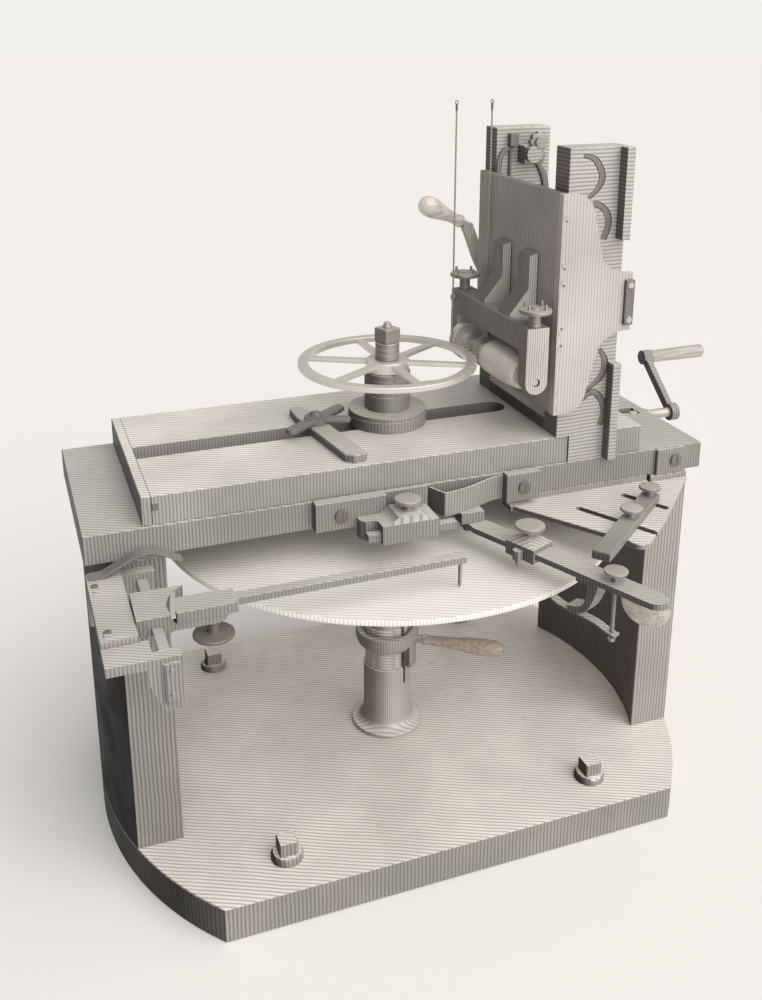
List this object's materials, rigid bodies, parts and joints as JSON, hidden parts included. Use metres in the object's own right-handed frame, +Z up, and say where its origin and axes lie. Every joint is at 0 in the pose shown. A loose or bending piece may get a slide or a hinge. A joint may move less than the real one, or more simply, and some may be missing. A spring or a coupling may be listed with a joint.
{
  "type": "wheel-cutting engine",
  "caption": "Bench machine with a dividing plate and index arms under a slotted bed, a wheel on its upright spindle, and a sliding tower that carries a belt-driven cutter in a frame.",
  "frame": {"origin": "on the spindle axis, at the underside of the base plate, on which the machine stands", "axes": "+Z up along the spindle; +X along the bed, from the index bracket towards the crank; +Y away from the front, towards the lever side of the tower"},
  "size_m": [1.0173, 0.7632, 0.9683],
  "materials": {
    "cast_iron": "rough, dull grey-brown",
    "planed_iron": "planed flat, with fine parallel marks",
    "steel": "turned or drawn bright",
    "dark_steel": "dark, oiled",
    "brass": "turned, pale, satin",
    "turned_wood": "turned hardwood, oiled",
    "gut": "twisted gut cord, waxed"
  },
  "bodies": {
    "frame": {"base_plate": "cast_iron", "leg_left": "cast_iron", "leg_right": "cast_iron", "bed": "planed_iron", "footstep_pillar": "cast_iron", "front_guide": "planed_iron", "spring_plate": "planed_iron", "leaf_spring": "steel", "bed_end_plate": "planed_iron", "index_bracket": "cast_iron", "index_guide_bar": "steel", "lift_spring": "steel", "side_plate": "planed_iron", "clamp_bar": "cast_iron"},
    "clamp_screw": {"clamp_screw": "dark_steel"},
    "ring_nut": {"ring_nut": "dark_steel", "ring_nut_handle": "turned_wood"},
    "spindle": {"spindle": "steel", "dividing_plate": "brass", "spindle_flange": "planed_iron", "arbor_sleeve": "steel", "work_wheel": "brass", "arbor_collars": "steel", "arbor_nut": "dark_steel"},
    "carriage": {"sliding_plate": "planed_iron", "end_batten": "planed_iron", "tower_cheek_near": "planed_iron", "tower_cheek_far": "planed_iron", "tower_sill": "cast_iron"},
    "lead_screw": {"lead_screw": "steel", "crank_arm": "dark_steel"},
    "crank_grip": {"crank_grip": "turned_wood"},
    "cutter_slide": {"cutter_slide_face": "planed_iron", "cutter_slide_web": "planed_iron", "cutter_slide_keeper": "cast_iron", "cutter_frame": "dark_steel", "band_run_front": "gut", "band_run_rear": "gut"},
    "cutter_arbor": {"cutter_arbor": "brass", "cutter": "steel", "arbor_bell": "brass"},
    "capstan_near": {"capstan_screw_near": "steel"},
    "capstan_far": {"capstan_screw_far": "steel"},
    "lift_lever": {"lifting_shaft": "steel", "lift_lever": "dark_steel", "lever_grip": "turned_wood"},
    "index_block": {"index_block": "cast_iron"},
    "index_carrier": {"index_carrier": "cast_iron"},
    "index_thumb_screw": {"index_thumb_screw": "dark_steel"},
    "stop_block": {"stop_block": "cast_iron"},
    "stop_knob": {"stop_knob": "steel"},
    "second_arm": {"second_arm": "planed_iron", "claw_leaf": "steel", "arm_grip": "turned_wood"},
    "draw_knob": {"draw_knob": "steel"},
    "arm_runner": {"arm_runner": "cast_iron"},
    "runner_knob": {"runner_knob": "steel"},
    "cross_bar": {"cross_bar": "planed_iron"},
    "bar_knob_left": {"bar_knob_left": "steel"},
    "bar_knob_right": {"bar_knob_right": "steel"}
  },
  "joints": [
    {"name": "spindle_turn", "type": "hinge", "parent": "frame", "child": "spindle", "pos_m": [0, 0, 0.414], "axis": [0, 0, 1], "continuous": true},
    {"name": "ring_nut_turn", "type": "hinge", "parent": "frame", "child": "ring_nut", "pos_m": [0, 0, 0.195], "axis": [0, 0, 1], "range_deg": [-60, 60]},
    {"name": "clamp_screw_turn", "type": "hinge", "parent": "frame", "child": "clamp_screw", "pos_m": [-0.106, -0.004, 0.539], "axis": [0, 0, 1], "range_deg": [-8, 90]},
    {"name": "lead_screw_turn", "type": "hinge", "parent": "frame", "child": "lead_screw", "pos_m": [0.427, 0, 0.491], "axis": [1, 0, 0], "range_deg": [-6848, 0]},
    {"name": "carriage_slide", "type": "slide", "parent": "frame", "child": "carriage", "axis": [1, 0, 0], "range_m": [0, 0.095]},
    {"name": "crank_grip_turn", "type": "hinge", "parent": "lead_screw", "child": "crank_grip", "pos_m": [0.47, 0.0789, 0.55721], "axis": [1, 0, 0], "continuous": true},
    {"name": "cutter_slide_lift", "type": "slide", "parent": "carriage", "child": "cutter_slide", "axis": [0, 0, 1], "range_m": [-0.028, 0.036]},
    {"name": "lift_lever_turn", "type": "hinge", "parent": "carriage", "child": "lift_lever", "pos_m": [0.23672, 0.118, 0.66], "axis": [0, 1, 0], "range_deg": [-46, 59]},
    {"name": "cutter_spin", "type": "hinge", "parent": "cutter_slide", "child": "cutter_arbor", "pos_m": [0.147, 0, 0.628], "axis": [0, 1, 0], "continuous": true},
    {"name": "capstan_near_turn", "type": "hinge", "parent": "cutter_slide", "child": "capstan_near", "pos_m": [0.147, -0.149, 0.702], "axis": [0, 0, 1], "continuous": true},
    {"name": "capstan_far_turn", "type": "hinge", "parent": "cutter_slide", "child": "capstan_far", "pos_m": [0.147, 0.069, 0.702], "axis": [0, 0, 1], "continuous": true},
    {"name": "index_block_slide", "type": "slide", "parent": "frame", "child": "index_block", "axis": [0, 1, 0], "range_m": [-0.02, 0.02]},
    {"name": "index_arm_swing", "type": "hinge", "parent": "index_block", "child": "index_carrier", "pos_m": [-0.308, -0.262, 0.455], "axis": [0, 0, 1], "range_deg": [-8, 5]},
    {"name": "index_thumb_turn", "type": "hinge", "parent": "index_carrier", "child": "index_thumb_screw", "pos_m": [-0.308, -0.262, 0.415], "axis": [0, 0, 1], "continuous": true},
    {"name": "stop_block_slide", "type": "slide", "parent": "frame", "child": "stop_block", "axis": [1, 0, 0], "range_m": [-0.01, 0]},
    {"name": "stop_knob_turn", "type": "hinge", "parent": "stop_block", "child": "stop_knob", "pos_m": [-0.039, -0.178, 0.489], "axis": [0, 0, 1], "continuous": true},
    {"name": "second_arm_swing", "type": "hinge", "parent": "frame", "child": "second_arm", "pos_m": [0.055, -0.162, 0.45], "axis": [0, 0, 1], "range_deg": [-6, 4]},
    {"name": "draw_knob_turn", "type": "hinge", "parent": "second_arm", "child": "draw_knob", "pos_m": [0.14774, -0.37029, 0.45], "axis": [0, 0, 1], "continuous": true},
    {"name": "runner_slide", "type": "slide", "parent": "second_arm", "child": "arm_runner", "axis": [0.4067, -0.9135, 0], "range_m": [-0.03, 0.04]},
    {"name": "runner_knob_turn", "type": "hinge", "parent": "arm_runner", "child": "runner_knob", "pos_m": [0.09567, -0.25335, 0.45], "axis": [0, 0, 1], "continuous": true},
    {"name": "cross_bar_slide", "type": "slide", "parent": "frame", "child": "cross_bar", "axis": [0.4939, -0.8695, 0], "range_m": [-0.018, 0.01]},
    {"name": "bar_knob_left_turn", "type": "hinge", "parent": "cross_bar", "child": "bar_knob_left", "pos_m": [0.23948, -0.25794, 0.455], "axis": [0, 0, 1], "continuous": true},
    {"name": "bar_knob_right_turn", "type": "hinge", "parent": "cross_bar", "child": "bar_knob_right", "pos_m": [0.29951, -0.2088, 0.455], "axis": [0, 0, 1], "continuous": true}
  ],
  "couplings": [
    {"joint": "lead_screw_turn", "follows": "carriage_slide", "rad_per_m": -1256.6},
    {"joint": "lift_lever_turn", "follows": "cutter_slide_lift", "rad_per_m": 28.409}
  ]
}
